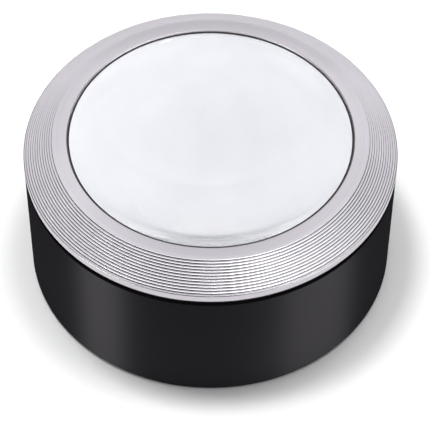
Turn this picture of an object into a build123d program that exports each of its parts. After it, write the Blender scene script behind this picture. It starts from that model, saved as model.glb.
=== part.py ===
from build123d import *

import os
from math import cos, radians, sin, sqrt

# Lighted desktop magnifying glass: a domed lens in a ribbed metal ring, on a drum that stands on the page.
#
# Frame: +Z up, origin at the centre of the foot's underside, +Y towards the back.
# Sizes are in millimetres, and azimuths in degrees counted from +X.

os.makedirs("parts", exist_ok=True)

# ---- Driving dimensions -------------------------------------------------------------------------

OUTER_R = 49.5  # drum and ring, outside
APERTURE_R = 37.7  # clear opening of the ring over the lens
GAP = 0.1  # clearance between parts that slide together or drop in

# Heights above the table
SHELL_FOOT_Z = 0.6
SHELL_TOP_Z = 37.4
RING_LOW_Z = 38.9
RING_EDGE_Z = 40.9
LAND_Z = 46.15

# ---- Drum ---------------------------------------------------------------------------------------

SHELL_WALL = 1.8
SHELL_IN_R = OUTER_R - SHELL_WALL
SLEEVE_IN_R = 38.0
SLEEVE_OUT_R = 39.2
SLEEVE_TOP_Z = 42.6  # just under the lens, which it carries
BASE_Z = 2.6  # top face of the base plate
RIM_CHAMFER = 0.3

# ---- Ring ---------------------------------------------------------------------------------------

LAND_OUT_R = 41.75
RIB_COUNT = 12
RIB_START = 0.1  # from the land's edge to the first groove
RIB_PITCH = 0.628  # measured along the radius
RIB_DEPTH = 0.2
RIB_FLAT = 0.22  # share of the pitch left as a flat crest
RING_BORE_R = 41.1  # the ring drops over the lens cell's tube
RING_SKIRT_IN_R = 47.4
RING_TOP_THICK = 1.95  # of the land, above the lens cell's tube
RING_EDGE_THICK = 0.7  # under the cone's outer edge
RING_LIP_R = 38.8  # outer wall of the pocket that presses on the lens seal
LAND_CHAMFER = 0.3

# ---- Lens and its seat --------------------------------------------------------------------------

LENS_R = 38.6
LENS_DOME_R = 37.9
LENS_CURVE_R = 80.0  # top face
LENS_BELLY_R = 37.5
LENS_BELLY_CURVE_R = 250.0  # bottom face
LENS_LOW_Z = 42.7
LENS_RIM_Z = 45.2
SEAL_FLANGE_Z = 45.55  # the ring's lip presses here
SEAL_TOP_Z = 45.75  # top of the bead that lies on the dome
SEAL_BEAD_R = 37.25
SEAL_GAP = 0.02
CELL_TUBE_R = 41.0
CELL_TOP_Z = LAND_Z - RING_TOP_THICK - GAP
CELL_FLANGE_R = 48.7
CELL_SKIRT_Z = 33.4
CELL_SKIRT_WALL = 1.6

# ---- Screws and their posts ---------------------------------------------------------------------

POST_AZIMUTHS = (45, 135, 225, 315)
POST_PITCH_R = 43.2
POST_R = 2.6
SCREW_R = 1.3
SCREW_HEAD_R = 2.3
SCREW_LENGTH = 9.0
SCREW_SINK = 1.1  # depth of the countersunk head
SCREW_HEAD_Z = 0.7  # underside of the head
SCREW_SLOT = (2.6, 0.6)  # length and width of each arm of the cross
SCREW_SLOT_DEPTH = 0.8
THREAD_GAP = 0.02

# ---- Foot ---------------------------------------------------------------------------------------

FOOT_IN_R = 41.2
FOOT_OUT_R = 47.0
FOOT_THICK = 1.0
FOOT_GAP_SPAN = 34.0  # degrees left open for the battery tray

# ---- Push button, at the back right. Backs and faces are distances from the drum's axis ------------

BUTTON_AZIMUTH = 65
BUTTON_Z = 22.0
BUTTON_R = 3.9
BUTTON_FLANGE_R = 4.7
BUTTON_FACE = 49.25
BUTTON_BACK = 46.0
BUTTON_TRAVEL = 1.2
COLLAR_HOLE_R = 4.9
COLLAR_BACK = 47.0
COLLAR_FACE = 49.2
SWITCH_BOARD_BACK = 39.3
SWITCH_BOARD_HALF = (6.5, 8.2)
SWITCH_BACK = 40.3
SWITCH_FRONT = 43.4
SWITCH_SIDE = 6.4
PLUNGER_R = 1.5
PLUNGER_BACK = 43.0

# ---- Battery, at the left -----------------------------------------------------------------------

BATTERY_AZIMUTH = 180
CELL_R = 10.0
CELL_THICK = 1.6
TRAY_HALF = 11.0
TRAY_BACK = 40.8  # distances from the drum's axis
TRAY_FRONT = 44.6
TRAY_WALL = 0.6
TRAY_TOP_Z = 23.4
CELL_CENTRE_Z = 12.6
HOLDER_BACK = 39.4
HOLDER_FRONT = 46.0
HOLDER_SLOT_BACK = 40.1
HOLDER_SLOT_FRONT = 45.2
HOLDER_HALF = 12.3
HOLDER_TOP_Z = 26.4
HOLDER_SLOT_Z = 24.6
CONTACT_THICK = 0.25
CONTACT_HALF = 2.5
CONTACT_LOW_Z = 4.0
CONTACT_DIMPLE_R = 1.5
TAB_HALF = 1.2
TAB_TOP_Z = 30.2
POSITIVE_BACK = HOLDER_SLOT_FRONT - CONTACT_THICK
NEGATIVE_FRONT = HOLDER_SLOT_BACK + CONTACT_THICK
CELL_WINDOW_R = 4.0  # round window through the tray's back
PULL_HALF = 5.0  # fingernail groove under the tray
PULL_DEPTH = 0.9

# ---- Light, in the sleeve's wall ----------------------------------------------------------------

LED_AZIMUTHS = (245, 270, 295)
LED_Z = 23.5
LED_R = 1.9
LED_NOSE = 37.6  # where the dome starts; distances from the drum's axis
LED_FLANGE_R = 2.2
LED_FLANGE_BACK = 40.2
LED_LEAD_R = 0.25
LED_LEAD_GAP = 1.27
LED_BOARD_IN_R = 40.3
LED_BOARD_OUT_R = 41.0
LED_BOARD_LOW_Z = 20.5
LED_BOARD_TOP_Z = 30.4
LED_BOARD_START = 237.0  # degrees
LED_BOARD_SPAN = 66.0

# ---- Wires ----------------------------------------------------------------------------------------

WIRE_R = 0.5
WIRE_RUN_R = 46.6  # radius of the run around the drum, outside the posts
WIRE_BEND = 12.0  # degrees over which an end comes in to its terminal
WIRE_STEP = 3.0  # degrees between the points of a run
HIGH_WIRE_Z = 29.6
LOW_WIRE_Z = 28.3
SWITCH_PAD_R = 41.0  # where the wires meet the switch board


# ---- Helpers ------------------------------------------------------------------------------------


def outward(azimuth):
    """Unit vector from the axis at an azimuth in degrees, counted from +X."""
    return Vector(cos(radians(azimuth)), sin(radians(azimuth)), 0)


def station(azimuth, distance):
    """Plane facing outwards at a distance from the axis: local x is tangential, local y is height."""
    return Plane(origin=outward(azimuth) * distance, x_dir=outward(azimuth + 90), z_dir=outward(azimuth))


def radial_plane(azimuth):
    """Plane through the axis at an azimuth: local x is radius, local y is height."""
    return Plane(origin=(0, 0, 0), x_dir=outward(azimuth), z_dir=outward(azimuth - 90))


def slab(azimuth, back, front, half_width, low, high, mode=Mode.ADD):
    """Flat block in the drum's wall, between two distances from the axis. Call it inside a BuildPart."""
    with BuildSketch(station(azimuth, back)) as outline:
        with Locations((0, (low + high) / 2)):
            Rectangle(2 * half_width, high - low)
    extrude(outline.sketch, amount=front - back, mode=mode)


def rod(azimuth, back, front, radius, across, height, mode=Mode.ADD):
    """Round bar along a radial line, across from the azimuth's centre line. Call it inside a BuildPart."""
    with BuildSketch(station(azimuth, back)) as outline:
        with Locations((across, height)):
            Circle(radius)
    extrude(outline.sketch, amount=front - back, mode=mode)


def sector(inner, outer, low, high, start, span, mode=Mode.ADD):
    """Part of a tube between two azimuths. Call it inside a BuildPart."""
    with BuildSketch(radial_plane(start)) as outline:
        with Locations(((inner + outer) / 2, (low + high) / 2)):
            Rectangle(outer - inner, high - low)
    revolve(outline.sketch, axis=Axis.Z, revolution_arc=span, mode=mode)


def polar(radius, azimuth):
    """Point in the XY plane."""
    return (radius * cos(radians(azimuth)), radius * sin(radians(azimuth)))


def at_posts():
    """The places of the four posts, in the XY plane."""
    return Locations(*[polar(POST_PITCH_R, azimuth) for azimuth in POST_AZIMUTHS])


def turned(points, name):
    """Solid of revolution about Z from (radius, height) points."""
    with BuildPart() as piece:
        with BuildSketch(Plane.XZ):
            Polygon(*points, align=None)
        revolve(axis=Axis.Z)
    piece.part.label = name
    return piece.part


def save(part, name):
    part.label = name
    export_step(part, f"parts/{name}.step")


# ---- Ring ---------------------------------------------------------------------------------------


def ribbed_slope():
    """(radius, height) points down the ring's cone, with a V groove between flat crests."""
    drop = (LAND_Z - RING_EDGE_Z) / (OUTER_R - LAND_OUT_R)
    tilt = 1 / sqrt(1 + drop * drop)  # cosine of the cone's slope
    points = [(LAND_OUT_R, LAND_Z)]
    for i in range(RIB_COUNT):
        start = LAND_OUT_R + RIB_START + i * RIB_PITCH
        valley = start + RIB_PITCH * (1 - RIB_FLAT) / 2
        end = start + RIB_PITCH * (1 - RIB_FLAT)
        for radius, depth in ((start, 0), (valley, RIB_DEPTH), (end, 0)):
            height = LAND_Z - (radius - LAND_OUT_R) * drop
            points.append((radius - depth * drop * tilt, height - depth * tilt))
    points.append((OUTER_R, RING_EDGE_Z))
    return points


bezel_ring = turned(
    [(APERTURE_R + LAND_CHAMFER, LAND_Z)]
    + ribbed_slope()
    + [
        (OUTER_R, RING_LOW_Z),
        (RING_SKIRT_IN_R, RING_LOW_Z),
        (RING_SKIRT_IN_R, RING_EDGE_Z - RING_EDGE_THICK),
        (RING_BORE_R, LAND_Z - RING_TOP_THICK),
        (RING_LIP_R, LAND_Z - RING_TOP_THICK),
        (RING_LIP_R, SEAL_FLANGE_Z),
        (APERTURE_R, SEAL_FLANGE_Z),
        (APERTURE_R, LAND_Z - LAND_CHAMFER),
    ],
    "bezel_ring",
)
save(bezel_ring, "bezel_ring")

# ---- Lens ---------------------------------------------------------------------------------------

dome_centre_z = LENS_RIM_Z - sqrt(LENS_CURVE_R**2 - LENS_DOME_R**2)
apex_z = dome_centre_z + LENS_CURVE_R
belly_centre_z = LENS_LOW_Z + sqrt(LENS_BELLY_CURVE_R**2 - LENS_BELLY_R**2)
belly_z = belly_centre_z - LENS_BELLY_CURVE_R


def dome_height(radius):
    """Height of the lens's top face at a radius."""
    return dome_centre_z + sqrt(LENS_CURVE_R**2 - radius**2)


dome_mid_r = LENS_DOME_R / 2
dome_mid_z = dome_height(dome_mid_r)
belly_mid_r = LENS_BELLY_R / 2
belly_mid_z = belly_centre_z - sqrt(LENS_BELLY_CURVE_R**2 - belly_mid_r**2)
with BuildPart() as lens:
    with BuildSketch(Plane.XZ):
        with BuildLine():
            ThreePointArc((0, apex_z), (dome_mid_r, dome_mid_z), (LENS_DOME_R, LENS_RIM_Z))
            Polyline(
                (LENS_DOME_R, LENS_RIM_Z),
                (LENS_R, LENS_RIM_Z),
                (LENS_R, LENS_LOW_Z),
                (LENS_BELLY_R, LENS_LOW_Z),
            )
            ThreePointArc((LENS_BELLY_R, LENS_LOW_Z), (belly_mid_r, belly_mid_z), (0, belly_z))
            Line((0, belly_z), (0, apex_z))
        make_face()
    revolve(axis=Axis.Z)
save(lens.part, "lens")


lens_seal = turned(
    [
        (LENS_DOME_R, LENS_RIM_Z + SEAL_GAP),
        (LENS_R, LENS_RIM_Z + SEAL_GAP),
        (LENS_R, SEAL_FLANGE_Z - SEAL_GAP),
        (APERTURE_R - SEAL_GAP, SEAL_FLANGE_Z - SEAL_GAP),
        (APERTURE_R - SEAL_GAP, SEAL_TOP_Z),
        (SEAL_BEAD_R, SEAL_TOP_Z),
        (SEAL_BEAD_R, dome_height(SEAL_BEAD_R) + SEAL_GAP),
        (APERTURE_R, dome_height(APERTURE_R) + SEAL_GAP),
    ],
    "lens_seal",
)
save(lens_seal, "lens_seal")

# ---- Lens cell: the black collar that holds the lens, with the posts the base screws into ---------

with BuildPart() as lens_cell:
    with BuildSketch(Plane.XZ):
        Polygon(
            (SLEEVE_OUT_R + GAP, LENS_LOW_Z),
            (LENS_R + GAP, LENS_LOW_Z),
            (LENS_R + GAP, CELL_TOP_Z),
            (CELL_TUBE_R, CELL_TOP_Z),
            (CELL_TUBE_R, RING_LOW_Z),
            (CELL_FLANGE_R, RING_LOW_Z),
            (CELL_FLANGE_R, SHELL_TOP_Z),
            (SHELL_IN_R - GAP, SHELL_TOP_Z),
            (SHELL_IN_R - GAP, CELL_SKIRT_Z),
            (SHELL_IN_R - GAP - CELL_SKIRT_WALL, CELL_SKIRT_Z),
            (SHELL_IN_R - GAP - CELL_SKIRT_WALL, SHELL_TOP_Z),
            (SLEEVE_OUT_R + GAP, SHELL_TOP_Z),
            align=None,
        )
    revolve(axis=Axis.Z)
    with BuildSketch(Plane.XY.offset(BASE_Z)):
        with at_posts():
            Circle(POST_R)
    extrude(amount=SHELL_TOP_Z - BASE_Z)
    with BuildSketch(Plane.XY.offset(BASE_Z)):
        with at_posts():
            Circle(SCREW_R + THREAD_GAP)
    extrude(amount=SCREW_LENGTH, mode=Mode.SUBTRACT)
save(lens_cell.part, "lens_cell")

# ---- Drum shell ---------------------------------------------------------------------------------

with BuildPart() as drum_shell:
    with BuildSketch(Plane.XY.offset(SHELL_FOOT_Z)):
        Circle(OUTER_R)
        Circle(SHELL_IN_R, mode=Mode.SUBTRACT)
    extrude(amount=SHELL_TOP_Z - SHELL_FOOT_Z)
    rims = drum_shell.edges().filter_by(GeomType.CIRCLE).filter_by(lambda e: e.radius > OUTER_R - GAP)
    chamfer(rims, length=RIM_CHAMFER)
    rod(BUTTON_AZIMUTH, BUTTON_BACK, OUTER_R + 1, COLLAR_HOLE_R, 0, BUTTON_Z, Mode.SUBTRACT)
save(drum_shell.part, "drum_shell")

# ---- Inner sleeve: white reflector with openings for the lamps -----------------------------------

with BuildPart() as reflector_sleeve:
    with BuildSketch(Plane.XY.offset(SHELL_FOOT_Z)):
        Circle(SLEEVE_OUT_R)
        Circle(SLEEVE_IN_R, mode=Mode.SUBTRACT)
    extrude(amount=SLEEVE_TOP_Z - SHELL_FOOT_Z)
    for azimuth in LED_AZIMUTHS:
        rod(azimuth, SLEEVE_IN_R - 2, SLEEVE_OUT_R + 1, LED_R + GAP, 0, LED_Z, Mode.SUBTRACT)
save(reflector_sleeve.part, "reflector_sleeve")

# ---- Lamps and their board, in the near wall ---------------------------------------------------------

with BuildPart() as leds:
    for azimuth in LED_AZIMUTHS:
        rod(azimuth, LED_NOSE, SLEEVE_OUT_R + GAP, LED_R, 0, LED_Z)
        rod(azimuth, SLEEVE_OUT_R + GAP, LED_FLANGE_BACK, LED_FLANGE_R, 0, LED_Z)
        with Locations(outward(azimuth) * LED_NOSE + Vector(0, 0, LED_Z)):
            Sphere(LED_R)
        for across in (-LED_LEAD_GAP, LED_LEAD_GAP):
            rod(azimuth, LED_FLANGE_BACK, LED_BOARD_OUT_R + 0.8, LED_LEAD_R, across, LED_Z)
save(leds.part, "leds")

with BuildPart() as led_board:
    sector(
        LED_BOARD_IN_R,
        LED_BOARD_OUT_R,
        LED_BOARD_LOW_Z,
        LED_BOARD_TOP_Z,
        LED_BOARD_START,
        LED_BOARD_SPAN,
    )
    for azimuth in LED_AZIMUTHS:
        for across in (-LED_LEAD_GAP, LED_LEAD_GAP):
            lead_hole_r = LED_LEAD_R + 0.05
            rod(azimuth, LED_FLANGE_BACK, LED_BOARD_OUT_R + 1, lead_hole_r, across, LED_Z, Mode.SUBTRACT)
save(led_board.part, "led_board")

# ---- Base plate, foot and screws -------------------------------------------------------------------

with BuildPart() as base_plate:
    with BuildSketch(Plane.XY.offset(SHELL_FOOT_Z)):
        Circle(SHELL_IN_R - GAP)
        Circle(SLEEVE_OUT_R + GAP, mode=Mode.SUBTRACT)
    extrude(amount=BASE_Z - SHELL_FOOT_Z)
    slab(BATTERY_AZIMUTH, TRAY_BACK - GAP, TRAY_FRONT + GAP, TRAY_HALF + GAP, 0, BASE_Z + 1, Mode.SUBTRACT)
    sector(
        FOOT_IN_R - 0.05,
        FOOT_OUT_R + 0.05,
        0,
        FOOT_THICK,
        BATTERY_AZIMUTH + FOOT_GAP_SPAN / 2 - 0.2,
        360 - FOOT_GAP_SPAN + 0.4,
        Mode.SUBTRACT,
    )
    with BuildSketch(Plane.XY):
        with at_posts():
            Circle(SCREW_R + GAP)
    extrude(amount=BASE_Z + 1, mode=Mode.SUBTRACT)
    with BuildSketch(Plane.XY):
        with at_posts():
            Circle(SCREW_HEAD_R + GAP)
    extrude(amount=SCREW_HEAD_Z, mode=Mode.SUBTRACT)
    for azimuth in POST_AZIMUTHS:
        with BuildSketch(Plane.XY.offset(SCREW_HEAD_Z)):
            with Locations(polar(POST_PITCH_R, azimuth)):
                Circle(SCREW_HEAD_R + GAP)
        with BuildSketch(Plane.XY.offset(SCREW_HEAD_Z + SCREW_SINK)):
            with Locations(polar(POST_PITCH_R, azimuth)):
                Circle(SCREW_R + GAP)
        loft(mode=Mode.SUBTRACT)
save(base_plate.part, "base_plate")

with BuildPart() as base_screws:
    for azimuth in POST_AZIMUTHS:
        with BuildSketch(Plane.XY.offset(SCREW_HEAD_Z)):
            with Locations(polar(POST_PITCH_R, azimuth)):
                Circle(SCREW_HEAD_R)
        with BuildSketch(Plane.XY.offset(SCREW_HEAD_Z + SCREW_SINK)):
            with Locations(polar(POST_PITCH_R, azimuth)):
                Circle(SCREW_R)
        loft()
    with BuildSketch(Plane.XY.offset(SCREW_HEAD_Z + SCREW_SINK)):
        with at_posts():
            Circle(SCREW_R)
    extrude(amount=SCREW_LENGTH - SCREW_SINK)
    with BuildSketch(Plane.XY.offset(SCREW_HEAD_Z)):
        with at_posts():
            Rectangle(SCREW_SLOT[0], SCREW_SLOT[1])
            Rectangle(SCREW_SLOT[1], SCREW_SLOT[0])
    extrude(amount=SCREW_SLOT_DEPTH, mode=Mode.SUBTRACT)
save(base_screws.part, "base_screws")

with BuildPart() as foot_ring:
    sector(
        FOOT_IN_R,
        FOOT_OUT_R,
        0,
        FOOT_THICK,
        BATTERY_AZIMUTH + FOOT_GAP_SPAN / 2,
        360 - FOOT_GAP_SPAN,
    )
    with BuildSketch(Plane.XY):
        with at_posts():
            Circle(SCREW_HEAD_R + 0.3)
    extrude(amount=FOOT_THICK + 1, mode=Mode.SUBTRACT)
save(foot_ring.part, "foot_ring")

# ---- Battery holder, tray, cells and contacts ------------------------------------------------------

with BuildPart() as battery_holder:
    slab(BATTERY_AZIMUTH, HOLDER_BACK, HOLDER_FRONT, HOLDER_HALF, BASE_Z, HOLDER_TOP_Z)
    slot_half = TRAY_HALF + GAP
    slab(BATTERY_AZIMUTH, HOLDER_SLOT_BACK, HOLDER_SLOT_FRONT, slot_half, 0, HOLDER_SLOT_Z, Mode.SUBTRACT)
    for back in (HOLDER_SLOT_BACK, POSITIVE_BACK):
        slab(BATTERY_AZIMUTH, back, back + CONTACT_THICK, TAB_HALF, 0, HOLDER_TOP_Z + 1, Mode.SUBTRACT)
save(battery_holder.part, "battery_holder")

with BuildPart() as battery_tray:
    slab(BATTERY_AZIMUTH, TRAY_BACK, TRAY_FRONT, TRAY_HALF, SHELL_FOOT_Z, TRAY_TOP_Z)
    pocket_back = TRAY_BACK + TRAY_WALL
    rod(BATTERY_AZIMUTH, pocket_back, TRAY_FRONT + 1, CELL_R + GAP, 0, CELL_CENTRE_Z, Mode.SUBTRACT)
    rod(BATTERY_AZIMUTH, TRAY_BACK - 1, TRAY_FRONT, CELL_WINDOW_R, 0, CELL_CENTRE_Z, Mode.SUBTRACT)
    pull_z = SHELL_FOOT_Z + PULL_DEPTH
    slab(BATTERY_AZIMUTH, TRAY_BACK + 1.3, TRAY_FRONT - 1.3, PULL_HALF, 0, pull_z, Mode.SUBTRACT)
save(battery_tray.part, "battery_tray")

with BuildPart() as coin_cells:
    with BuildSketch(station(BATTERY_AZIMUTH, TRAY_BACK + TRAY_WALL)):
        with Locations((0, CELL_CENTRE_Z)):
            Circle(CELL_R)
    extrude(amount=CELL_THICK)
    with BuildSketch(station(BATTERY_AZIMUTH, TRAY_BACK + TRAY_WALL + CELL_THICK + 0.02)):
        with Locations((0, CELL_CENTRE_Z)):
            Circle(CELL_R)
    extrude(amount=CELL_THICK - 0.04)
save(coin_cells.part, "coin_cells")

with BuildPart() as contact_positive:
    slab(BATTERY_AZIMUTH, POSITIVE_BACK, HOLDER_SLOT_FRONT, CONTACT_HALF, CONTACT_LOW_Z, HOLDER_SLOT_Z)
    slab(BATTERY_AZIMUTH, POSITIVE_BACK, HOLDER_SLOT_FRONT, TAB_HALF, HOLDER_SLOT_Z, TAB_TOP_Z)
save(contact_positive.part, "contact_positive")

with BuildPart() as contact_negative:
    slab(BATTERY_AZIMUTH, HOLDER_SLOT_BACK, NEGATIVE_FRONT, CONTACT_HALF, CONTACT_LOW_Z, HOLDER_SLOT_Z)
    slab(BATTERY_AZIMUTH, HOLDER_SLOT_BACK, NEGATIVE_FRONT, TAB_HALF, HOLDER_SLOT_Z, TAB_TOP_Z)
    rod(BATTERY_AZIMUTH, HOLDER_SLOT_BACK, TRAY_BACK - 0.15, CONTACT_DIMPLE_R, 0, CELL_CENTRE_Z)
save(contact_negative.part, "contact_negative")

# ---- Button and switch -----------------------------------------------------------------------------

with BuildPart() as switch_board:
    half_width, half_height = SWITCH_BOARD_HALF
    slab(
        BUTTON_AZIMUTH,
        SWITCH_BOARD_BACK,
        SWITCH_BACK,
        half_width,
        BUTTON_Z - half_height,
        BUTTON_Z + half_height,
    )
save(switch_board.part, "switch_board")

with BuildPart() as switch_body:
    slab(
        BUTTON_AZIMUTH,
        SWITCH_BACK,
        SWITCH_FRONT,
        SWITCH_SIDE / 2,
        BUTTON_Z - SWITCH_SIDE / 2,
        BUTTON_Z + SWITCH_SIDE / 2,
    )
    bore_back = PLUNGER_BACK - BUTTON_TRAVEL - 0.2
    rod(BUTTON_AZIMUTH, bore_back, SWITCH_FRONT + 1, PLUNGER_R + 0.05, 0, BUTTON_Z, Mode.SUBTRACT)
save(switch_body.part, "switch_body")

with BuildPart() as switch_plunger:
    rod(BUTTON_AZIMUTH, PLUNGER_BACK, BUTTON_BACK, PLUNGER_R, 0, BUTTON_Z)
save(switch_plunger.part, "switch_plunger")

with BuildPart() as button_cap:
    rod(BUTTON_AZIMUTH, BUTTON_BACK, COLLAR_BACK - GAP, BUTTON_FLANGE_R, 0, BUTTON_Z)
    rod(BUTTON_AZIMUTH, COLLAR_BACK - GAP, BUTTON_FACE, BUTTON_R, 0, BUTTON_Z)
    face = button_cap.faces().sort_by(Axis((0, 0, 0), outward(BUTTON_AZIMUTH)))[-1]
    fillet(face.edges(), radius=0.5)
save(button_cap.part, "button_cap")

with BuildPart() as button_collar:
    rod(BUTTON_AZIMUTH, COLLAR_BACK, COLLAR_FACE, COLLAR_HOLE_R - 0.03, 0, BUTTON_Z)
    rod(BUTTON_AZIMUTH, COLLAR_BACK - 1, COLLAR_FACE + 1, BUTTON_R + 0.06, 0, BUTTON_Z, Mode.SUBTRACT)
save(button_collar.part, "button_collar")

with BuildPart() as resistor:
    with BuildSketch(station(BUTTON_AZIMUTH, SWITCH_BACK)):
        with Locations((4.8, BUTTON_Z - 4)):
            Rectangle(1.25, 2.5)
    extrude(amount=0.6)
save(resistor.part, "resistor")

# ---- Wires -----------------------------------------------------------------------------------------


def wire_radius(from_end, end_radius):
    """Distance of a wire from the axis: a smooth step from its terminal out to the run."""
    share = max(0, 1 - from_end / WIRE_BEND) ** 2
    return WIRE_RUN_R - (WIRE_RUN_R - end_radius) * share


def wire_run(name, start, start_radius, end, end_radius, height):
    """Insulated wire round the inside of the shell, from one azimuth to another."""
    count = round(abs(end - start) / WIRE_STEP)
    points = []
    for i in range(count + 1):
        along = abs(end - start) * i / count
        azimuth = start + (end - start) * i / count
        radius = wire_radius(along, start_radius)
        if along > abs(end - start) / 2:
            radius = wire_radius(abs(end - start) - along, end_radius)
        x, y = polar(radius, azimuth)
        points.append((x, y, height))
    with BuildPart() as wire:
        with BuildLine() as path:
            Spline(*points)
        with BuildSketch(Plane(origin=path.line @ 0, z_dir=path.line % 0)):
            Circle(WIRE_R)
        sweep()
    save(wire.part, name)


wire_seat = WIRE_R + 0.02
board_r = LED_BOARD_OUT_R + wire_seat
positive_tab_r = HOLDER_SLOT_FRONT + wire_seat
negative_tab_r = NEGATIVE_FRONT + wire_seat
left_lamp_end = LED_BOARD_START + 4
right_lamp_end = LED_BOARD_START + LED_BOARD_SPAN - 2 - 360
wire_run("wire_positive", BATTERY_AZIMUTH, positive_tab_r, BUTTON_AZIMUTH + 4, SWITCH_PAD_R, HIGH_WIRE_Z)
wire_run("wire_negative", BATTERY_AZIMUTH, negative_tab_r, left_lamp_end, board_r, HIGH_WIRE_Z)
wire_run("wire_switched", BUTTON_AZIMUTH - 4, SWITCH_PAD_R, right_lamp_end, board_r, LOW_WIRE_Z)
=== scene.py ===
"""Looks of the lighted desktop magnifying glass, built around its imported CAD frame.

The ring, lens, seal and drum are turned again at a high resolution on the CAD's own sizes. Every other CAD
node keeps its mesh and gets a material. Lengths of the object are millimetres, times MM where Blender wants
metres. The stage, its lights and the camera are in metres.
"""

from math import cos, hypot, pi, radians, sin, sqrt, tan

import bmesh
import bpy
from mathutils import Matrix, Vector


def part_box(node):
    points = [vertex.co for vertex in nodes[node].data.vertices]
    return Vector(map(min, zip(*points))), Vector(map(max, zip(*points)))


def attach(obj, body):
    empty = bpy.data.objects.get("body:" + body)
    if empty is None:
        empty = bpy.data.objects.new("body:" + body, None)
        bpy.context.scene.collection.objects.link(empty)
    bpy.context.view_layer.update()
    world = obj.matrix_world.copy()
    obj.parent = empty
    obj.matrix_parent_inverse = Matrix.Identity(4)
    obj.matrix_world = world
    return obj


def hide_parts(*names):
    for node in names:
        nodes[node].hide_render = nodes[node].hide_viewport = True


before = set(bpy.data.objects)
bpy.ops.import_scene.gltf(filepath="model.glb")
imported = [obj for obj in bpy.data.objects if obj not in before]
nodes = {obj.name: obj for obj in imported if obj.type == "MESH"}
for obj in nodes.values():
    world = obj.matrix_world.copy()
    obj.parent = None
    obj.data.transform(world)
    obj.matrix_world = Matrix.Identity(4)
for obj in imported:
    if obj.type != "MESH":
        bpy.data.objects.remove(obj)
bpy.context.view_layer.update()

MM = 0.001
SEGMENTS = 360
LENS_SEGMENTS = 240


def box_mm(node):
    """Lowest and highest corner of a CAD node, in millimetres."""
    low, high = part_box(node)
    return low / MM, high / MM


# ---- Sizes, in millimetres --------------------------------------------------------------------------

ring_low, ring_high = box_mm("bezel_ring")
shell_low, shell_high = box_mm("drum_shell")
lens_high = box_mm("lens")[1]
seal_low, seal_high = box_mm("lens_seal")
sleeve_high = box_mm("reflector_sleeve")[1]

OUTER_R = ring_high.x
LAND_Z = ring_high.z
RING_LOW_Z = ring_low.z
RING_EDGE_Z = RING_LOW_Z + 2.0
RING_EDGE_THICK = 0.7
RING_TOP_THICK = 1.95
RING_SKIRT_R = 47.4
RING_BORE_R = 41.1
RING_LIP_R = 38.8
APERTURE_R = 37.7
LAND_CHAMFER = 0.3
LAND_OUT_R = 41.75
CONE_DROP = (LAND_Z - RING_EDGE_Z) / (OUTER_R - LAND_OUT_R)

RIB_COUNT = 12
RIB_START = 0.1
RIB_PITCH = 0.628
RIB_DEPTH = 0.2
RIB_FLAT = 0.22
# Corners of a groove, as shares of its width and of its depth.
RIB_PROFILE = ((0, 0), (0.45, 0.92), (0.55, 0.92), (1, 0))

SHELL_IN_R = 47.7
SHELL_ROUNDING = 0.35
# Above this height, on the drum's top rim in the joint under the ring, the sheen is left out: a painted
# shade.
SHEEN_TOP_Z = shell_high.z - 0.3
HOLE_CLEARANCE = 0.03
CUT_OVERLAP = 2
SLEEVE_OUT_R = sleeve_high.x
UNDERLIT_R = OUTER_R - 0.5

SEAL_GAP = 0.02
SEAL_BEAD_R = 37.25
SEAL_FLANGE_Z = 45.55

LENS_R = lens_high.x
LENS_RIM_R = 37.9
LENS_GROUND_R = LENS_R - 0.02
LENS_BELLY_R = 37.5
LENS_CURVE_R = 80.0
LENS_BELLY_CURVE_R = 250.0
LENS_EDGE_HIGH = seal_low.z - SEAL_GAP
LENS_EDGE_LOW = LENS_EDGE_HIGH - 2.5

# ---- Finishes ---------------------------------------------------------------------------------------

ALUMINIUM_TONE = (0.82, 0.78, 0.835)
DRUM_SHEEN = 0.0115
LENS_SHADOW = (0.61, 0.61, 0.62)

# The ring's painted shades, from 0 to 1, and where they lie, in millimetres.
GROOVE_SHADE = 0.98
GROOVE_FLOOR_SHADE = 0.5
GROOVE_FLOOR_DEPTH = 0.8 * RIB_DEPTH
GROOVED_R = OUTER_R - 0.2
BORE_SHADE = 0.7
BORE_R = APERTURE_R + 0.28
CORNER_SHADE = 0.85
EDGE_SHADE = 0.32
EDGE_R = OUTER_R - 0.22

# ---- Stage, in metres -------------------------------------------------------------------------------

FLOOR_HALF = 0.25
FLOOR_Z = -0.02 * MM

# Strength of the studio low down in front, all round and overhead, and the share that matt surfaces get.
FRONT_LIGHT = 0.06
WALL_LIGHT = 0.62
OVERHEAD_LIGHT = 1.15
FILL_SHARE = 0.62

OBJECT_MIDDLE = (0, 0, 0.03)
CAMERA_PLACE = (0, -0.3713, 0.4712)
# The camera's angles, in degrees.
CAMERA_PITCH = 51.04
CAMERA_YAW = 0.24
CAMERA_ROLL = 0.41
FOCAL_LENGTH_MM = 178.7
SENSOR_WIDTH_MM = 36


# ---- Mesh helpers -----------------------------------------------------------------------------------


def finish_mesh(name, bm, body, replaced, sharp_angle=28):
    """Turns a bmesh into a piece that rides on a body and stands for CAD nodes."""
    bmesh.ops.remove_doubles(bm, verts=bm.verts, dist=0.002 * MM)
    bmesh.ops.recalc_face_normals(bm, faces=bm.faces)
    for edge in bm.edges:
        edge.smooth = edge.calc_face_angle(0) < radians(sharp_angle)
    for face in bm.faces:
        face.smooth = True
    mesh = bpy.data.meshes.new(name)
    bm.to_mesh(mesh)
    bm.free()
    piece = bpy.data.objects.new(name, mesh)
    bpy.context.scene.collection.objects.link(piece)
    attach(piece, body)
    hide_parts(*replaced)
    return piece


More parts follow.
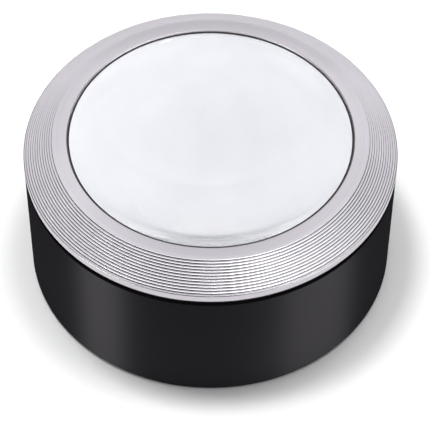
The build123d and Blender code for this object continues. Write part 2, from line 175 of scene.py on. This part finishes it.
def lathe_bmesh(outline, segments=SEGMENTS):
    """Closed outline of (radius, height) points, in mm, turned about Z."""
    bm = bmesh.new()
    rings = []
    for i in range(segments):
        angle = 2 * pi * i / segments
        c, s = cos(angle) * MM, sin(angle) * MM
        rings.append([bm.verts.new((r * c, r * s, z * MM)) for r, z in outline])
    count = len(outline)
    for i in range(segments):
        here, after = rings[i], rings[(i + 1) % segments]
        for j in range(count):
            k = (j + 1) % count
            if outline[j][0] < 1e-6 and outline[k][0] < 1e-6:
                continue
            bm.faces.new((here[j], after[j], after[k], here[k]))
    bmesh.ops.remove_doubles(bm, verts=bm.verts, dist=0.0005 * MM)
    bmesh.ops.dissolve_degenerate(bm, edges=bm.edges, dist=0.0002 * MM)
    return bm


def rounded(outline, corners, steps=4):
    """Replaces chosen corners of an outline, {index: radius}, by arcs."""
    made = []
    count = len(outline)
    for i, point in enumerate(outline):
        if i not in corners:
            made.append(point)
            continue
        here = Vector(point)
        to_before = (Vector(outline[i - 1]) - here).normalized()
        to_after = (Vector(outline[(i + 1) % count]) - here).normalized()
        half = to_before.angle(to_after) / 2
        reach = corners[i] / tan(half)
        centre = here + (to_before + to_after).normalized() * (corners[i] / sin(half))
        start = here + to_before * reach - centre
        end = here + to_after * reach - centre
        for step in range(steps + 1):
            share = step / steps
            mixed = start.lerp(end, share)
            made.append(tuple(centre + mixed.normalized() * corners[i]))
    return made


def cut(bm, cutter_bms):
    """Boolean difference of a bmesh and others, as a new bmesh."""
    base_mesh = bpy.data.meshes.new("cut_base")
    bm.to_mesh(base_mesh)
    bm.free()
    base = bpy.data.objects.new("cut_base", base_mesh)
    bpy.context.scene.collection.objects.link(base)
    cutters = []
    for cutter_bm in cutter_bms:
        mesh = bpy.data.meshes.new("cutter")
        cutter_bm.to_mesh(mesh)
        cutter_bm.free()
        cutter = bpy.data.objects.new("cutter", mesh)
        bpy.context.scene.collection.objects.link(cutter)
        cutters.append(cutter)
        modifier = base.modifiers.new("cut", "BOOLEAN")
        modifier.object = cutter
        modifier.solver = "EXACT"
    depsgraph = bpy.context.evaluated_depsgraph_get()
    result = bmesh.new()
    result.from_mesh(base.evaluated_get(depsgraph).to_mesh())
    for obj in [base] + cutters:
        bpy.data.objects.remove(obj)
    return result


def radial_rod(azimuth, height, radius, start, end, segments=64):
    """Cylinder along a radial line, in mm, as a bmesh."""
    bm = bmesh.new()
    bmesh.ops.create_cone(
        bm,
        cap_ends=True,
        segments=segments,
        radius1=radius * MM,
        radius2=radius * MM,
        depth=(end - start) * MM,
    )
    out = Vector((cos(azimuth), sin(azimuth), 0))
    middle = out * (start + end) / 2 * MM + Vector((0, 0, height * MM))
    turn = out.to_track_quat("Z", "Y").to_matrix().to_4x4()
    bm.transform(Matrix.Translation(middle) @ turn)
    return bm


def azimuth_of(node):
    """Azimuth of a CAD node's middle, in radians."""
    low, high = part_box(node)
    middle = (low + high) / 2
    return Vector((1, 0)).angle_signed(middle.xy) * -1


def smooth_cad(node, split_angle=30):
    """Smooth shading on a CAD node, split at its real edges, without changing its shape."""
    obj = nodes[node]
    custom = obj.data.attributes.get("custom_normal")
    if custom:
        obj.data.attributes.remove(custom)
    for polygon in obj.data.polygons:
        polygon.use_smooth = True
    weld = obj.modifiers.new("weld", "WELD")
    weld.merge_threshold = 0.001 * MM
    split = obj.modifiers.new("split", "EDGE_SPLIT")
    split.split_angle = radians(split_angle)


# ---- Material helpers -------------------------------------------------------------------------------


class Shader:
    """Small wrapper to build a Principled material node by node."""

    def __init__(self, name):
        self.material = bpy.data.materials.new(name)
        self.material.use_nodes = True
        self.tree = self.material.node_tree
        self.bsdf = self.tree.nodes["Principled BSDF"]
        self.output = self.tree.nodes["Material Output"]
        self.position = self.add("ShaderNodeTexCoord").outputs["Object"]

    def add(self, kind, settings=None, **inputs):
        """Adds a node, sets its attributes, and sets or links its inputs (spaces in names become _)."""
        node = self.tree.nodes.new(kind)
        for key, value in (settings or {}).items():
            setattr(node, key, value)
        for key, value in inputs.items():
            self.feed(node.inputs[key.replace("_", " ")], value)
        return node

    def feed(self, socket, value):
        """Links a socket or sets its value."""
        if isinstance(value, bpy.types.NodeSocket):
            self.tree.links.new(value, socket)
        elif isinstance(value, (tuple, list)) and len(value) == 3 and socket.type == "RGBA":
            socket.default_value = (*value, 1)
        else:
            socket.default_value = value

    def set(self, **inputs):
        """Sets inputs of the Principled shader."""
        for key, value in inputs.items():
            self.feed(self.bsdf.inputs[key.replace("_", " ")], value)

    def maths(self, operation, first, second=0.0):
        """Sum, product or other operation on numbers or sockets."""
        node = self.add("ShaderNodeMath", {"operation": operation})
        for socket, value in zip(node.inputs, (first, second)):
            self.feed(socket, value)
        return node.outputs[0]

    def noise(self, scale, detail=4.0, roughness=0.55, vector=None, stretch=None):
        """Noise with features about 1/scale metres across; stretch scales its three axes."""
        vector = vector or self.position
        if stretch:
            vector = self.add("ShaderNodeMapping", None, Vector=vector, Scale=stretch).outputs[0]
        node = self.add("ShaderNodeTexNoise", None, Vector=vector, Scale=scale)
        self.feed(node.inputs["Detail"], detail)
        self.feed(node.inputs["Roughness"], roughness)
        return node.outputs["Fac"]

    def spread(self, value, low, high, from_low=0.0, from_high=1.0):
        """Maps a value from one range to another, clamped."""
        node = self.add("ShaderNodeMapRange")
        for socket, number in zip(node.inputs, (value, from_low, from_high, low, high)):
            self.feed(socket, number)
        return node.outputs[0]

    def mix(self, factor, first, second):
        """Mixes two colours."""
        node = self.add("ShaderNodeMix", {"data_type": "RGBA"})
        self.feed(node.inputs[0], factor)
        self.feed(node.inputs[6], first)
        self.feed(node.inputs[7], second)
        return node.outputs[2]

    def radius(self):
        """Distance from the Z axis, in metres."""
        x, y = self.add("ShaderNodeSeparateXYZ", None, Vector=self.position).outputs[:2]
        squares = self.maths("ADD", self.maths("MULTIPLY", x, x), self.maths("MULTIPLY", y, y))
        return self.maths("SQRT", squares)

    def height(self):
        """Height above the table, in metres."""
        return self.add("ShaderNodeSeparateXYZ", None, Vector=self.position).outputs[2]

    def around_axis(self):
        """Tangent that runs round the Z axis, as the marks of a lathe do."""
        return self.add("ShaderNodeTangent", {"direction_type": "RADIAL", "axis": "Z"}).outputs[0]

    def facing_out(self):
        """Share of a face's normal that points away from the Z axis."""
        flat = self.add("ShaderNodeVectorMath", {"operation": "MULTIPLY"})
        self.feed(flat.inputs[0], self.position)
        self.feed(flat.inputs[1], (1.0, 1.0, 0.0))
        outward = self.add("ShaderNodeVectorMath", {"operation": "NORMALIZE"})
        self.feed(outward.inputs[0], flat.outputs[0])
        dot = self.add("ShaderNodeVectorMath", {"operation": "DOT_PRODUCT"})
        self.feed(dot.inputs[0], self.add("ShaderNodeNewGeometry").outputs["Normal"])
        self.feed(dot.inputs[1], outward.outputs[0])
        return dot.outputs["Value"]

    def bump(self, height, strength, distance):
        """Normal of a surface raised by a height, at most by a distance in metres."""
        node = self.add("ShaderNodeBump", None, Height=height, Strength=strength, Distance=distance)
        return node.outputs[0]

    def worn_edges(self, radius_mm, amount):
        """Wear on sharp edges, at most an amount and broken up by noise, and 0 elsewhere."""
        bevel = self.add("ShaderNodeBevel", {"samples": 4}, Radius=radius_mm * MM).outputs[0]
        normal = self.add("ShaderNodeNewGeometry").outputs["Normal"]
        dot = self.add("ShaderNodeVectorMath", {"operation": "DOT_PRODUCT"})
        self.feed(dot.inputs[0], bevel)
        self.feed(dot.inputs[1], normal)
        edge = self.spread(dot.outputs["Value"], 1, 0, 0.86, 0.995)
        return self.maths("MULTIPLY", edge, self.spread(self.noise(700), 0, amount, 0.4, 0.7))


def apply(material, *objects):
    """Puts a material on pieces, in place of any they have."""
    for obj in objects:
        obj.data.materials.clear()
        obj.data.materials.append(material)


# ---- Materials --------------------------------------------------------------------------------------


def ring_shade(s):
    """How much painted shade darkens the bezel ring, from 0 to 1: in its grooves, in its bore and on its
    outer edge.
    """
    radius = s.radius()
    facing = s.facing_out()
    fall = s.maths("MULTIPLY", s.maths("SUBTRACT", radius, LAND_OUT_R * MM), CONE_DROP)
    below_crest = s.maths("SUBTRACT", s.maths("SUBTRACT", LAND_Z * MM, fall), s.height())
    deep = s.maths("GREATER_THAN", below_crest, GROOVE_FLOOR_DEPTH * MM)
    on_floor = s.maths("MULTIPLY", deep, s.maths("GREATER_THAN", facing, 0.3))
    on_wall = s.spread(facing, 0, 1, 0.6, 0.74)
    groove = s.maths("MAXIMUM", s.maths("MULTIPLY", on_floor, GROOVE_FLOOR_SHADE), on_wall)
    groove = s.maths("MULTIPLY", groove, GROOVE_SHADE)
    groove = s.maths("MULTIPLY", groove, s.maths("LESS_THAN", radius, GROOVED_R * MM))
    bore = s.maths("MULTIPLY", s.maths("LESS_THAN", radius, BORE_R * MM), BORE_SHADE)
    edge = s.spread(facing, CORNER_SHADE, EDGE_SHADE, 0.8, 0.98)
    edge = s.maths("MULTIPLY", edge, s.maths("GREATER_THAN", radius, EDGE_R * MM))
    return s.maths("MAXIMUM", s.maths("MAXIMUM", groove, bore), edge)


def turned_aluminium(name, shaded):
    """Clear anodised aluminium with the fine lay of a lathe, and with the bezel ring's painted shade if
    shaded.
    """
    s = Shader(name)
    lay = s.add("ShaderNodeCombineXYZ", None, X=s.radius(), Y=s.height()).outputs[0]
    fine = s.noise(26000, 2, 0.6, lay)
    broad = s.noise(2400, 3, 0.5, lay)
    cloud = s.noise(55, 3, 0.5)
    dull, clear, bright = (tuple(share * c for c in ALUMINIUM_TONE) for share in (0.92, 0.95, 1.04))
    tint = s.mix(s.spread(broad, 0, 1, 0.3, 0.7), clear, bright)
    clouded = s.mix(s.spread(cloud, 0, 0.25, 0.45, 0.75), tint, dull)
    # Where shaded, the ring's colour is mixed towards black by its painted shade.
    s.set(
        Base_Color=s.mix(ring_shade(s), clouded, (0.0, 0.0, 0.0)) if shaded else clouded,
        Metallic=1.0,
        Roughness=s.spread(cloud, 0.3, 0.38, 0.35, 0.7),
        Anisotropic=0.6,
        Anisotropic_Rotation=0.0,
        Tangent=s.around_axis(),
        Normal=s.bump(fine, 0.22, 0.004 * MM),
    )
    return s.material


def satin_black():
    """Black anodised drum: turned, so its sheen stretches upright, with slight wear on its edges."""
    s = Shader("satin_black")
    peel = s.noise(5200, 3, 0.6)
    sheen = s.noise(38, 3, 0.5)
    speck = s.noise(9000, 2, 0.5)
    wear = s.worn_edges(0.25, 0.5)
    base = s.mix(s.spread(speck, 0, 1, 0.35, 0.7), (0.0082, 0.0073, 0.0096), (0.012, 0.0108, 0.0138))
    s.set(
        Base_Color=s.mix(wear, base, (0.05, 0.05, 0.052)),
        Roughness=0.6,
        Specular_IOR_Level=0.0,
    )
    gloss = s.add(
        "ShaderNodeBsdfAnisotropic",
        None,
        Color=(1, 0.97, 1),
        Roughness=s.spread(sheen, 0.48, 0.54, 0.35, 0.7),
        Anisotropy=0.66,
        Rotation=0.0,
        Tangent=s.around_axis(),
        Normal=s.bump(peel, 0.1, 0.01 * MM),
    )
    # No sheen on the drum's top rim in the joint under the ring: a painted shade.
    on_wall = s.maths("LESS_THAN", s.height(), SHEEN_TOP_Z * MM)
    mixed = s.add("ShaderNodeMixShader")
    s.feed(mixed.inputs[0], s.maths("MULTIPLY", on_wall, DRUM_SHEEN))
    s.feed(mixed.inputs[1], s.bsdf.outputs[0])
    s.feed(mixed.inputs[2], gloss.outputs[0])
    s.feed(s.output.inputs["Surface"], mixed.outputs[0])
    return s.material


def lens_glass():
    """Clear polished glass that lets light through to the page, with a trace of dust and a ground rim."""
    s = Shader("lens_glass")
    dust = s.spread(s.noise(2600, 2, 0.7), 0, 1, 0.73, 0.8)
    smear = s.noise(60, 3, 0.6, stretch=(1, 3, 1))
    s.set(
        Base_Color=(0.99, 0.987, 1.0),
        Roughness=s.maths("ADD", s.spread(smear, 0.0, 0.012, 0.5, 0.75), s.maths("MULTIPLY", dust, 0.01)),
        IOR=1.5,
        Transmission_Weight=1.0,
    )
    through = s.add("ShaderNodeBsdfTransparent", None, Color=LENS_SHADOW).outputs[0]
    shadow_ray = s.add("ShaderNodeLightPath").outputs["Is Shadow Ray"]
    mixed = s.add("ShaderNodeMixShader")
    s.feed(mixed.inputs[0], shadow_ray)
    s.feed(mixed.inputs[1], s.bsdf.outputs[0])
    s.feed(mixed.inputs[2], through)
    frost = s.noise(5000, 3, 0.6)
    ground = s.add("ShaderNodeBsdfDiffuse", None, Color=s.mix(frost, (0.78, 0.79, 0.82), (0.9, 0.905, 0.92)))
    on_rim = s.maths("GREATER_THAN", s.radius(), LENS_GROUND_R * MM)
    whole = s.add("ShaderNodeMixShader")
    s.feed(whole.inputs[0], on_rim)
    s.feed(whole.inputs[1], mixed.outputs[0])
    s.feed(whole.inputs[2], ground.outputs[0])
    s.feed(s.output.inputs["Surface"], whole.outputs[0])
    return s.material


def plastic(name, dark, light, rough=(0.42, 0.55), grain=3000, bump=0.18, wear=0.3):
    """Moulded plastic: spark-eroded grain, slight colour drift and paler rubbed edges."""
    s = Shader(name)
    texture = s.noise(grain, 3, 0.6)
    drift = s.noise(90, 3, 0.5)
    base = s.mix(s.spread(drift, 0, 1, 0.35, 0.65), dark, light)
    rubbed = tuple(min(1, 1.6 * c + 0.02) for c in light)
    s.set(
        Base_Color=s.mix(s.worn_edges(0.2, wear), base, rubbed),
        Roughness=s.spread(texture, *rough, 0.35, 0.7),
        Normal=s.bump(texture, bump, 0.02 * MM),
    )
    return s.material


def foam_rubber():
    """Black foam rubber with open pores."""
    s = Shader("foam_rubber")
    pores = s.add("ShaderNodeTexVoronoi", {"feature": "SMOOTH_F1"}, Vector=s.position, Scale=2600)
    grain = s.noise(5200, 3, 0.6)
    depth = s.spread(pores.outputs["Distance"], 0, 1, 0.15, 0.5)
    # The pores are painted darker the deeper they go: a painted shade.
    s.set(
        Base_Color=s.mix(depth, (0.008, 0.008, 0.008), (0.035, 0.035, 0.034)),
        Roughness=s.spread(grain, 0.8, 0.96),
        Normal=s.bump(depth, 0.5, 0.08 * MM),
    )
    return s.material


def seal_rubber():
    """Thin black gasket, slightly shiny where it was pressed."""
    s = Shader("seal_rubber")
    grain = s.noise(6000, 2, 0.6)
    s.set(
        Base_Color=s.mix(grain, (0.006, 0.006, 0.007), (0.02, 0.02, 0.021)),
        Roughness=s.spread(grain, 0.5, 0.7),
        Normal=s.bump(grain, 0.15, 0.01 * MM),
    )
    return s.material


def plated_metal(name, tone, rough=(0.18, 0.34)):
    """Plated metal with fine random scratches and a mottled sheen."""
    s = Shader(name)
    scratch = s.noise(9000, 2, 0.5, stretch=(1, 0.06, 0.4))
    mottle = s.noise(420, 4, 0.6)
    s.set(
        Base_Color=s.mix(s.spread(mottle, 0, 1, 0.35, 0.65), tuple(0.86 * c for c in tone), tone),
        Metallic=1.0,
        Roughness=s.spread(mottle, *rough, 0.3, 0.7),
        Normal=s.bump(scratch, 0.2, 0.008 * MM),
    )
    return s.material


def circuit_board(name, dark, light, track_tone):
    """Laminate with the weave of its glass cloth and its copper tracks showing through the mask."""
    s = Shader(name)
    threads = []
    for direction in ("Z", "DIAGONAL"):
        wave = s.add("ShaderNodeTexWave", {"bands_direction": direction}, Vector=s.position, Scale=900)
        s.feed(wave.inputs["Distortion"], 1.0)
        threads.append(wave.outputs["Fac"])
    weave = s.maths("MULTIPLY", *threads)
    track = s.add("ShaderNodeTexVoronoi", {"distance": "CHEBYCHEV"}, Vector=s.position, Scale=520)
    copper = s.spread(track.outputs["Distance"], 1, 0, 0.12, 0.16)
    s.set(
        Base_Color=s.mix(copper, s.mix(weave, dark, light), track_tone),
        Roughness=s.spread(weave, 0.28, 0.4),
        Normal=s.bump(weave, 0.1, 0.01 * MM),
    )
    return s.material


def lamp_epoxy():
    """Clear epoxy lamp body, greyish where the die and its cup show inside."""
    s = Shader("lamp_epoxy")
    swirl = s.noise(900, 3, 0.5)
    s.set(
        Base_Color=s.mix(swirl, (0.32, 0.33, 0.35), (0.52, 0.53, 0.55)),
        Roughness=s.spread(swirl, 0.08, 0.16),
        Coat_Weight=0.6,
        Subsurface_Weight=0.2,
        Subsurface_Radius=(0.001, 0.001, 0.001),
    )
    return s.material


def insulation(name, tone):
    """Soft vinyl insulation with slight bloom."""
    s = Shader(name)
    bloom = s.noise(1200, 3, 0.6)
    s.set(
        Base_Color=s.mix(bloom, tuple(0.8 * c for c in tone), tone),
        Roughness=s.spread(bloom, 0.35, 0.5),
        Normal=s.bump(bloom, 0.1, 0.02 * MM),
    )
    return s.material


# ---- Turned pieces ----------------------------------------------------------------------------------


def build_ring():
    """Bezel ring: smooth land, ribbed cone, short edge, and a bore that shades the lens's rim."""
    tilt = 1 / hypot(1, CONE_DROP)
    cone = []
    for i in range(RIB_COUNT):
        start = LAND_OUT_R + RIB_START + i * RIB_PITCH
        width = RIB_PITCH * (1 - RIB_FLAT)
        for share, depth in RIB_PROFILE:
            radius = start + width * share
            height = LAND_Z - (radius - LAND_OUT_R) * CONE_DROP
            sink = RIB_DEPTH * depth * tilt
            cone.append((radius - sink * CONE_DROP, height - sink))
    bore = [
        (OUTER_R, RING_EDGE_Z),
        (OUTER_R, RING_LOW_Z),
        (RING_SKIRT_R, RING_LOW_Z),
        (RING_SKIRT_R, RING_EDGE_Z - RING_EDGE_THICK),
        (RING_BORE_R, LAND_Z - RING_TOP_THICK),
        (RING_LIP_R, LAND_Z - RING_TOP_THICK),
        (RING_LIP_R, SEAL_FLANGE_Z),
        (APERTURE_R, SEAL_FLANGE_Z),
    ]
    lip = [
        (APERTURE_R, LAND_Z - LAND_CHAMFER),
        (APERTURE_R + LAND_CHAMFER, LAND_Z),
        (LAND_OUT_R, LAND_Z),
    ]
    outline = lip + cone + bore
    edge = len(lip) + len(cone)
    outline = rounded(outline, {0: 0.12, 1: 0.12, 2: 0.06, edge: 0.2, edge + 1: 0.15})
    return finish_mesh("ring_turned", lathe_bmesh(outline), "drum", ["bezel_ring"])


def dome_height(radius):
    """Height of the lens's top face at a radius."""
    return LENS_EDGE_HIGH + sqrt(LENS_CURVE_R**2 - radius**2) - sqrt(LENS_CURVE_R**2 - LENS_RIM_R**2)


def build_lens():
    """Biconvex lens with a ground rim."""
    low_centre = LENS_EDGE_LOW + sqrt(LENS_BELLY_CURVE_R**2 - LENS_BELLY_R**2)
    steps = 48
    top = []
    belly = []
    for i in range(steps + 1):
        radius = LENS_RIM_R * i / steps
        top.append((radius, dome_height(radius)))
        radius = LENS_BELLY_R * (1 - i / steps)
        belly.append((radius, low_centre - sqrt(LENS_BELLY_CURVE_R**2 - radius**2)))
    rim = [(LENS_R, LENS_EDGE_HIGH), (LENS_R, LENS_EDGE_LOW)]
    bm = lathe_bmesh(top + rim + belly, LENS_SEGMENTS)
    return finish_mesh("lens_polished", bm, "drum", ["lens"], 30)


def build_seal():
    """Gasket between the lens and the ring, with a thin bead that lies on the dome in the ring's opening."""
    outline = [
        (LENS_RIM_R, seal_low.z),
        (LENS_R, seal_low.z),
        (LENS_R, SEAL_FLANGE_Z - SEAL_GAP),
        (APERTURE_R - SEAL_GAP, SEAL_FLANGE_Z - SEAL_GAP),
        (APERTURE_R - SEAL_GAP, seal_high.z),
        (SEAL_BEAD_R, seal_high.z),
        (SEAL_BEAD_R, dome_height(SEAL_BEAD_R) + SEAL_GAP),
        (APERTURE_R, dome_height(APERTURE_R) + SEAL_GAP),
    ]
    outline = rounded(outline, {4: 0.06, 5: 0.06})
    return finish_mesh("seal_bead", lathe_bmesh(outline), "drum", ["lens_seal"])


def build_shell():
    """Drum wall with softened rims and the hole for the button."""
    outline = [
        (SHELL_IN_R, shell_low.z),
        (OUTER_R, shell_low.z),
        (OUTER_R, shell_high.z),
        (SHELL_IN_R, shell_high.z),
    ]
    bm = lathe_bmesh(rounded(outline, {1: SHELL_ROUNDING, 2: SHELL_ROUNDING}, 5))
    collar_low, collar_high = box_mm("button_collar")
    height = (collar_low.z + collar_high.z) / 2
    hole_r = (collar_high.z - collar_low.z) / 2 + HOLE_CLEARANCE
    start, end = SHELL_IN_R - CUT_OVERLAP, OUTER_R + CUT_OVERLAP
    hole = radial_rod(azimuth_of("button_collar"), height, hole_r, start, end)
    return finish_mesh("drum_turned", cut(bm, [hole]), "drum", ["drum_shell"])


ring = build_ring()
lens = build_lens()
seal = build_seal()
shell = build_shell()

# ---- Materials on the pieces --------------------------------------------------------------------------

apply(turned_aluminium("ribbed_aluminium", True), ring)
apply(turned_aluminium("plain_aluminium", False), nodes["button_collar"])
apply(satin_black(), shell)
apply(lens_glass(), lens)
apply(seal_rubber(), seal)
smooth_black = plastic("black_moulding", (0.008, 0.008, 0.009), (0.014, 0.014, 0.015))
apply(smooth_black, nodes["lens_cell"], nodes["base_plate"], nodes["battery_holder"])
grained_black = plastic("grained_moulding", (0.012, 0.012, 0.013), (0.02, 0.02, 0.021), grain=2200, bump=0.3)
apply(grained_black, nodes["battery_tray"], nodes["button_cap"], nodes["switch_body"])
white = plastic("white_reflector", (0.84, 0.85, 0.87), (0.9, 0.905, 0.915), (0.4, 0.5), 2500, 0.08, 0.1)
apply(white, nodes["reflector_sleeve"])
apply(plastic("cream_nylon", (0.62, 0.6, 0.54), (0.7, 0.68, 0.62)), nodes["switch_plunger"])
apply(plastic("chip_ceramic", (0.01, 0.01, 0.012), (0.02, 0.02, 0.024), grain=6000), nodes["resistor"])
apply(foam_rubber(), nodes["foot_ring"])
apply(plated_metal("zinc_screw", (0.55, 0.55, 0.57)), nodes["base_screws"])
apply(plated_metal("nickel_can", (0.66, 0.655, 0.65), (0.12, 0.26)), nodes["coin_cells"])
apply(plated_metal("spring_brass", (0.72, 0.55, 0.3)), nodes["contact_positive"], nodes["contact_negative"])
green_mask = circuit_board("green_board", (0.006, 0.07, 0.025), (0.012, 0.12, 0.045), (0.05, 0.25, 0.08))
apply(green_mask, nodes["switch_board"])
white_mask = circuit_board("white_board", (0.74, 0.745, 0.75), (0.82, 0.825, 0.83), (0.86, 0.85, 0.8))
apply(white_mask, nodes["led_board"])
apply(lamp_epoxy(), nodes["leds"])
apply(insulation("wire_red", (0.42, 0.02, 0.02)), nodes["wire_positive"])
apply(insulation("wire_black", (0.012, 0.012, 0.013)), nodes["wire_negative"])
apply(insulation("wire_white", (0.62, 0.62, 0.6)), nodes["wire_switched"])

for node in nodes:
    if not nodes[node].hide_render:
        smooth_cad(node)

# ---- Stage --------------------------------------------------------------------------------------------


def build_floor():
    """Pale floor with a faint paper tooth, clear from below, that lets light up under the drum's base."""
    s = Shader("pale_floor")
    tooth = s.noise(600, 3, 0.6)
    s.set(
        Base_Color=s.mix(tooth, (0.9, 0.9, 0.9), (0.92, 0.92, 0.92)),
        Roughness=0.9,
        Specular_IOR_Level=0.1,
    )
    clear = s.add("ShaderNodeBsdfTransparent").outputs[0]
    under = s.add("ShaderNodeNewGeometry").outputs["Backfacing"]
    radius = s.radius()
    beneath = s.maths(
        "MULTIPLY",
        s.maths("GREATER_THAN", radius, SLEEVE_OUT_R * MM),
        s.maths("LESS_THAN", radius, UNDERLIT_R * MM),
    )
    camera_ray = s.add("ShaderNodeLightPath").outputs["Is Camera Ray"]
    hidden = s.maths("MULTIPLY", beneath, s.maths("SUBTRACT", 1.0, camera_ray))
    mixed = s.add("ShaderNodeMixShader")
    s.feed(mixed.inputs[0], s.maths("MAXIMUM", under, hidden))
    s.feed(mixed.inputs[1], s.bsdf.outputs[0])
    s.feed(mixed.inputs[2], clear)
    s.feed(s.output.inputs["Surface"], mixed.outputs[0])
    bm = bmesh.new()
    bmesh.ops.create_grid(bm, x_segments=1, y_segments=1, size=FLOOR_HALF)
    mesh = bpy.data.meshes.new("floor")
    bm.to_mesh(mesh)
    bm.free()
    floor = bpy.data.objects.new("floor", mesh)
    floor.location.z = FLOOR_Z
    floor.data.materials.append(s.material)
    bpy.context.scene.collection.objects.link(floor)


def softbox(name, place, size, radiance, target=OBJECT_MIDDLE, in_sheen=True, in_shade=True):
    """Rectangular soft light aimed at a point: in_sheen shows it in reflections, in_shade lights things."""
    light = bpy.data.lights.new(name, "AREA")
    light.shape = "RECTANGLE"
    light.size, light.size_y = size
    light.energy = radiance * pi * size[0] * size[1]
    lamp = bpy.data.objects.new(name, light)
    lamp.location = place
    lamp.rotation_euler = (Vector(target) - Vector(place)).to_track_quat("-Z", "Y").to_euler()
    lamp.visible_camera = False
    lamp.visible_diffuse = in_shade
    lamp.visible_glossy = in_sheen
    lamp.visible_transmission = in_sheen
    bpy.context.scene.collection.objects.link(lamp)


def build_world():
    """White studio: brightest overhead and a little to the front, darker low down in front.

    The camera itself sees plain white, and matt surfaces get only FILL_SHARE of the light.
    """
    world = bpy.data.worlds.new("studio")
    bpy.context.scene.world = world
    world.use_nodes = True
    tree = world.node_tree
    tree.nodes.clear()

    def node(kind, **settings):
        made = tree.nodes.new(kind)
        for key, value in settings.items():
            setattr(made, key, value)
        return made

    def ramp(source, from_low, from_high, low, high):
        made = node("ShaderNodeMapRange", interpolation_type="SMOOTHSTEP")
        tree.links.new(source, made.inputs[0])
        for socket, value in zip(made.inputs[1:5], (from_low, from_high, low, high)):
            socket.default_value = value
        return made.outputs[0]

    def maths(operation, first, second):
        made = node("ShaderNodeMath", operation=operation)
        for socket, value in zip(made.inputs, (first, second)):
            if isinstance(value, float):
                socket.default_value = value
            else:
                tree.links.new(value, socket)
        return made.outputs[0]

    split = node("ShaderNodeSeparateXYZ")
    tree.links.new(node("ShaderNodeTexCoord").outputs["Generated"], split.inputs[0])
    forward, height = split.outputs[1], split.outputs[2]
    in_front = ramp(forward, -0.85, -0.35, 1.0, 0.0)
    low_down = ramp(height, 0.35, 0.7, 1.0, 0.0)
    shade = maths("MULTIPLY", maths("MULTIPLY", in_front, low_down), WALL_LIGHT - FRONT_LIGHT)
    leaning = maths("SUBTRACT", height, maths("MULTIPLY", forward, 0.25))
    overhead = ramp(leaning, 0.55, 0.9, 0.0, OVERHEAD_LIGHT - WALL_LIGHT)
    light = maths("ADD", maths("SUBTRACT", WALL_LIGHT, shade), overhead)
    rays = node("ShaderNodeLightPath").outputs
    dimmed = maths("MULTIPLY", rays["Is Diffuse Ray"], 1 - FILL_SHARE)
    light = maths("MULTIPLY", light, maths("SUBTRACT", 1.0, dimmed))
    strength = maths("ADD", light, maths("MULTIPLY", rays["Is Camera Ray"], maths("SUBTRACT", 1.0, light)))
    background = node("ShaderNodeBackground")
    background.inputs["Color"].default_value = (0.985, 0.99, 1.0, 1)
    tree.links.new(strength, background.inputs["Strength"])
    output = node("ShaderNodeOutputWorld")
    tree.links.new(background.outputs[0], output.inputs[0])


def build_camera():
    """Camera above and in front, looking down at the magnifier."""
    pitch, yaw, roll = radians(CAMERA_PITCH), radians(CAMERA_YAW), radians(CAMERA_ROLL)
    forward = Vector((sin(yaw) * cos(pitch), cos(yaw) * cos(pitch), -sin(pitch)))
    right = forward.cross(Vector((0, 0, 1))).normalized()
    up = right.cross(forward)
    across = right * cos(roll) + up * sin(roll)
    upward = up * cos(roll) - right * sin(roll)
    camera = bpy.data.cameras.new("camera")
    camera.sensor_width = SENSOR_WIDTH_MM
    camera.lens = FOCAL_LENGTH_MM
    camera.clip_end = 20
    obj = bpy.data.objects.new("camera", camera)
    turn = Matrix((across, upward, -forward)).transposed().to_4x4()
    obj.matrix_world = Matrix.Translation(CAMERA_PLACE) @ turn
    bpy.context.scene.collection.objects.link(obj)
    bpy.context.scene.camera = obj


build_floor()
build_world()
softbox("front_top", (0.30, -0.38, 0.76), (0.17, 0.24), 11, in_shade=False)
softbox("key_left", (-0.13, 0.055, 0.85), (0.15, 0.15), 52, in_sheen=False)
softbox("key_right", (0.09, 0.055, 0.85), (0.15, 0.15), 28, in_sheen=False)
softbox("lamps", (0.006, -0.033, 0.024), (0.03, 0.008), 4, target=(-0.012, 0.038, 0.018), in_sheen=False)
softbox("left_strip", (-0.50, -0.33, 0.2), (0.25, 0.5), 14, in_shade=False)
softbox("right_strip", (0.50, -0.33, 0.2), (0.42, 0.5), 10, in_shade=False)
build_camera()
bpy.context.scene.view_settings.view_transform = "Standard"
